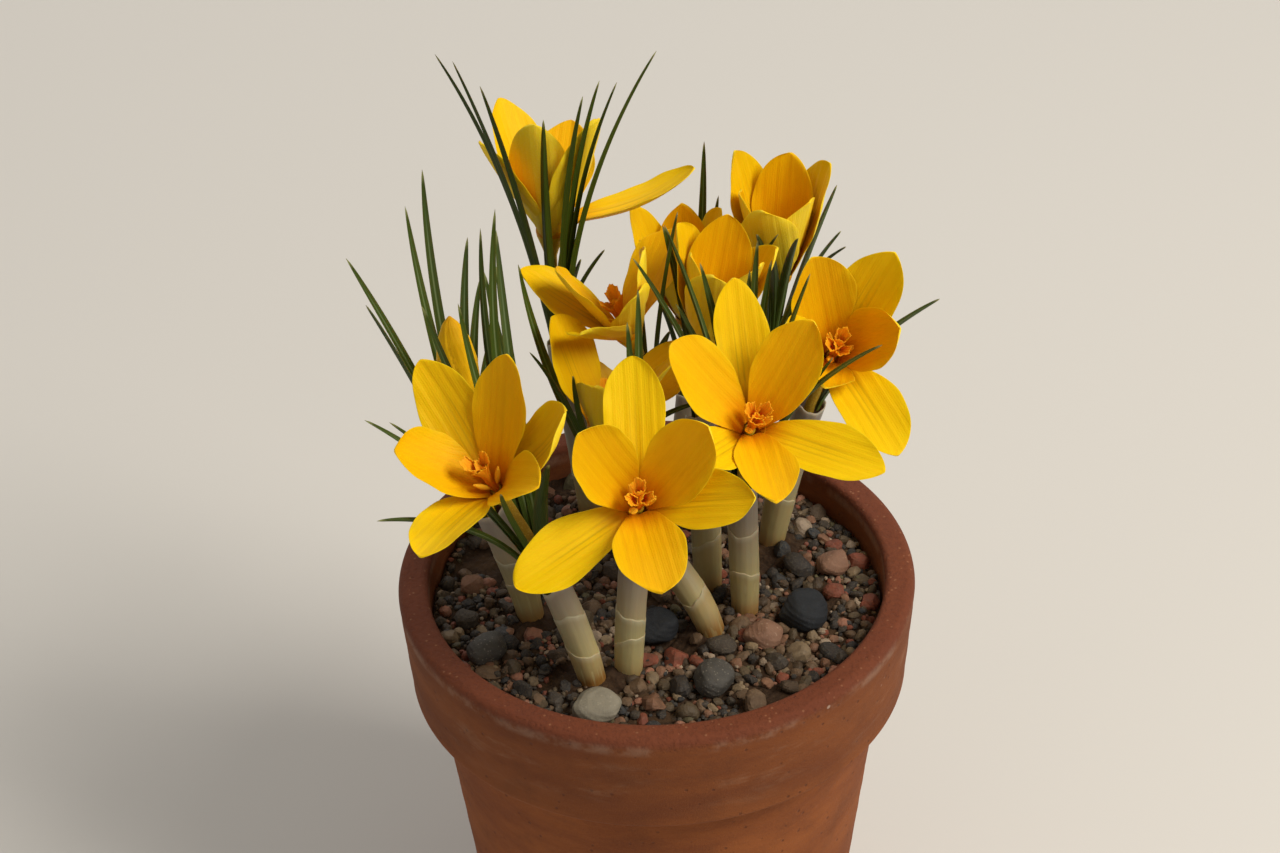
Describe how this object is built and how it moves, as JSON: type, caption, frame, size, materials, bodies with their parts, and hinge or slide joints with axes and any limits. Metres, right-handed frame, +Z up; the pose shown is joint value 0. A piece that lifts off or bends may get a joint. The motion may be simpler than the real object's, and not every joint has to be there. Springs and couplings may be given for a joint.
{
  "type": "potted crocus",
  "caption": "Clay pot of yellow celandine crocuses: open starry blooms, a bud, narrow leaves and papery sheaths standing in gritty potting mix.",
  "frame": {"origin": "on the pot's axis, on the flat of its foot", "axes": "+Z up out of the pot, -Y the side seen from the front, +X to the viewer's right"},
  "size_m": [0.116, 0.1064, 0.2045],
  "materials": {
    "clay": "unglazed fired clay, matt and stippled, with pale mineral specks",
    "potting_mix": "dark brown mix under angular grit in grey, slate, pink and cream",
    "corm": "dry fibrous brown coat",
    "sheath": "papery, matt, taupe above and cream below",
    "leaf": "mid to dark green, satin, with a paler mid stripe",
    "tepal": "soft satin yellow, deeper orange towards the throat, finely veined",
    "stamens": "matt powdery orange",
    "stone_pale": "matt, rough",
    "stone_slate": "matt, slightly sheened slate",
    "stone_pink": "matt, rough",
    "stone_grey": "matt, rough"
  },
  "bodies": {
    "root": {"pot": "clay", "potting_mix": "potting_mix", "corm_1": "corm", "corm_2": "corm", "corm_3": "corm", "corm_4": "corm", "corm_5": "corm", "corm_6": "corm", "corm_7": "corm", "corm_8": "corm", "pebble_1": "stone_pale", "pebble_2": "stone_slate", "pebble_3": "stone_slate", "pebble_4": "stone_pink", "pebble_5": "stone_grey", "pebble_6": "stone_pink", "pebble_7": "stone_grey", "sheath_1": "sheath", "leaves_1": "leaf", "bloom_1": "tepal", "stamens_1": "stamens", "sheath_2": "sheath", "leaves_2": "leaf", "bloom_2": "tepal", "stamens_2": "stamens", "sheath_3": "sheath", "leaves_3": "leaf", "bloom_3": "tepal", "stamens_3": "stamens", "sheath_4": "sheath", "leaves_4": "leaf", "bloom_4": "tepal", "stamens_4": "stamens", "sheath_5": "sheath", "leaves_5": "leaf", "bloom_5": "tepal", "stamens_5": "stamens", "sheath_6": "sheath", "leaves_6": "leaf", "bloom_6": "tepal", "stamens_6": "stamens", "sheath_7": "sheath", "leaves_7": "leaf", "bloom_7": "tepal", "stamens_7": "stamens", "sheath_8": "sheath", "leaves_8": "leaf", "bloom_8": "tepal", "stamens_8": "stamens", "sheath_9": "sheath", "leaves_9": "leaf", "bloom_9": "tepal", "stamens_9": "stamens", "sheath_10": "sheath", "leaves_10": "leaf", "bloom_10": "tepal", "stamens_10": "stamens", "sheath_11": "sheath", "leaves_11": "leaf", "bud_11": "tepal"}
  },
  "joints": []
}
